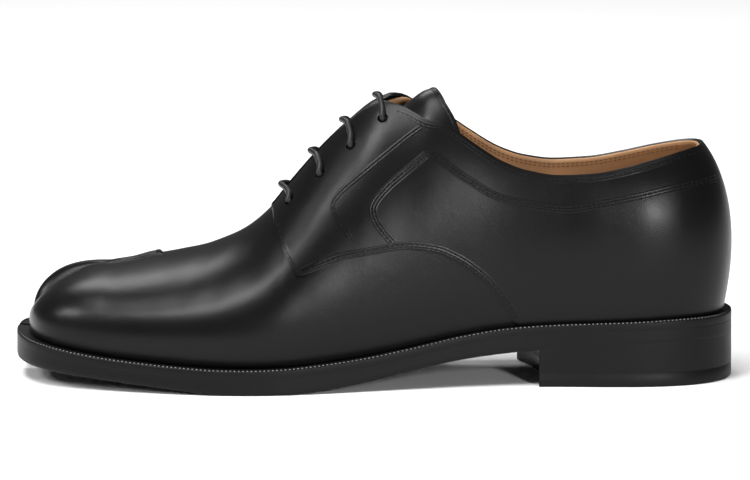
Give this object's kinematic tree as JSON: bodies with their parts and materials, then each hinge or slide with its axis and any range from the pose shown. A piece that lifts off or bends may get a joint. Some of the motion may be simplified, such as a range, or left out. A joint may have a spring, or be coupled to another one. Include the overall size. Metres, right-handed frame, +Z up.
{
  "type": "split toe derby shoe",
  "caption": "Left low-heeled lace-up leather shoe whose toe is split by a deep cleft between the big toe and the other toes.",
  "frame": {"origin": "centre of the bounding box in plan, on the floor plane", "axes": "-X towards the toe, +X towards the heel, +Y towards the inner side of the foot, +Z up"},
  "size_m": [0.2998, 0.1072, 0.1199],
  "materials": {
    "black_calf": "polished black leather",
    "sole_edge": "black dyed leather edge",
    "tan_leather": "natural tan leather",
    "lace_cord": "waxed black cotton cord"
  },
  "bodies": {
    "root": {"upper": "black_calf", "tongue": "black_calf", "welt": "sole_edge", "outsole": "sole_edge", "heel": "sole_edge", "insole": "tan_leather", "lace_bar_1": "lace_cord", "lace_bar_2": "lace_cord", "lace_bar_3": "lace_cord", "lace_bar_4": "lace_cord"}
  },
  "joints": []
}
